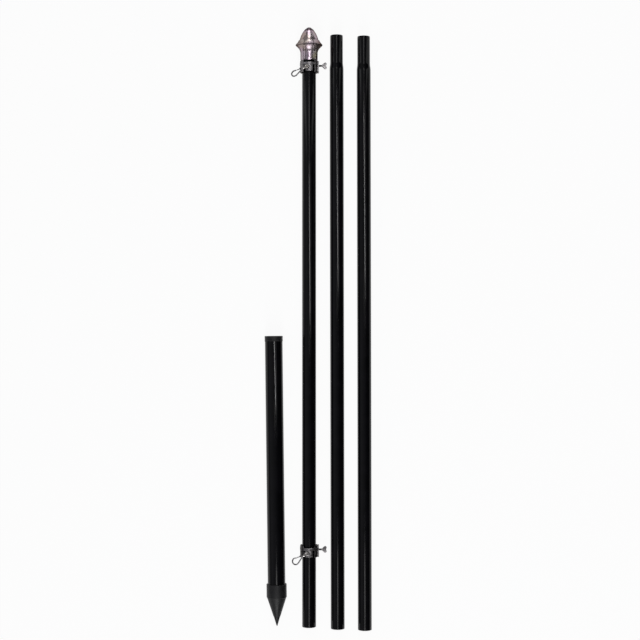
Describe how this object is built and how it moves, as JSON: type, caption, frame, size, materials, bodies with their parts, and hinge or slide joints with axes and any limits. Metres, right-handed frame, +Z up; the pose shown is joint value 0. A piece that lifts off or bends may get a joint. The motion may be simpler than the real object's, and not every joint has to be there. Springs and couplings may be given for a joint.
{
  "type": "sectional flagpole, taken apart",
  "caption": "Sectional ground flagpole taken apart and laid flat: tubes with reduced necks, a pointed ground sleeve, a panelled finial and ring clamps with thumbscrews and swivel snap hooks.",
  "frame": {"origin": "on the floor, under the middle of the whole layout's box", "axes": "+Z up, +Y along the tubes towards the finial, +X from the ground sleeve towards the lower section"},
  "size_m": [0.1954, 1.0962, 0.0487],
  "materials": {
    "black_enamel": "black powder coat, semi-gloss, faintly mottled",
    "black_plastic": "black moulded plastic, satin, fine grain",
    "nickel_plate": "warm nickel plate, polished, slightly clouded",
    "zinc_plate": "bright zinc plate, dulled"
  },
  "bodies": {
    "pole_and_sleeve": {"sleeve_tube": "black_enamel", "sleeve_bushing": "black_plastic", "sleeve_point": "black_plastic", "sleeve_nib": "black_plastic", "lower_section": "black_enamel", "middle_section": "black_enamel", "top_section": "black_enamel", "finial_socket": "nickel_plate", "finial_cup": "nickel_plate", "finial_dome": "nickel_plate", "finial_knob": "nickel_plate"},
    "upper_clamp": {"upper_ring": "zinc_plate", "upper_rivet": "nickel_plate"},
    "upper_screw": {"upper_thumbscrew": "zinc_plate"},
    "upper_swivel": {"upper_eye": "nickel_plate"},
    "upper_snap": {"upper_hook": "zinc_plate"},
    "upper_keeper": {"upper_gate": "zinc_plate"},
    "lower_clamp": {"lower_ring": "zinc_plate", "lower_rivet": "nickel_plate"},
    "lower_screw": {"lower_thumbscrew": "zinc_plate"},
    "lower_swivel": {"lower_eye": "nickel_plate"},
    "lower_snap": {"lower_hook": "zinc_plate"},
    "lower_keeper": {"lower_gate": "zinc_plate"}
  },
  "joints": [
    {"name": "upper_ring_slide", "type": "slide", "parent": "pole_and_sleeve", "child": "upper_clamp", "axis": [0, 1, 0.0085], "range_m": [-0.4, 0]},
    {"name": "upper_screw_turn", "type": "hinge", "parent": "upper_clamp", "child": "upper_screw", "pos_m": [0.00335, 0.47846, 0.02404], "axis": [1, 0, 0], "continuous": true},
    {"name": "upper_hook_swing", "type": "hinge", "parent": "upper_clamp", "child": "upper_swivel", "pos_m": [-0.02083, 0.4738, 0.04366], "axis": [-0.2079, -0.0083, 0.9781], "range_deg": [-38, 122]},
    {"name": "upper_hook_swivel", "type": "hinge", "parent": "upper_swivel", "child": "upper_snap", "pos_m": [-0.02644, 0.47076, 0.04244], "axis": [-0.8637, -0.4679, -0.1875], "continuous": true},
    {"name": "upper_gate_open", "type": "hinge", "parent": "upper_snap", "child": "upper_keeper", "pos_m": [-0.03231, 0.47013, 0.04006], "axis": [-0.3825, 0.366, 0.8484], "range_deg": [0, 22], "stiffness_Nm_per_rad": 0.002},
    {"name": "lower_ring_slide", "type": "slide", "parent": "pole_and_sleeve", "child": "lower_clamp", "axis": [0, 1, 0.0085], "range_m": [-0.12, 0.4]},
    {"name": "lower_screw_turn", "type": "hinge", "parent": "lower_clamp", "child": "lower_screw", "pos_m": [0.00335, -0.40131, 0.0166], "axis": [1, 0, 0], "continuous": true},
    {"name": "lower_hook_swing", "type": "hinge", "parent": "lower_clamp", "child": "lower_swivel", "pos_m": [-0.02083, -0.40597, 0.03622], "axis": [-0.2079, -0.0083, 0.9781], "range_deg": [-45, 115]},
    {"name": "lower_hook_swivel", "type": "hinge", "parent": "lower_swivel", "child": "lower_snap", "pos_m": [-0.02604, -0.40969, 0.03508], "axis": [-0.8013, -0.5721, -0.1752], "continuous": true},
    {"name": "lower_gate_open", "type": "hinge", "parent": "lower_snap", "child": "lower_keeper", "pos_m": [-0.03214, -0.41088, 0.03377], "axis": [-0.2079, -0.0083, 0.9781], "range_deg": [0, 22], "stiffness_Nm_per_rad": 0.002}
  ]
}
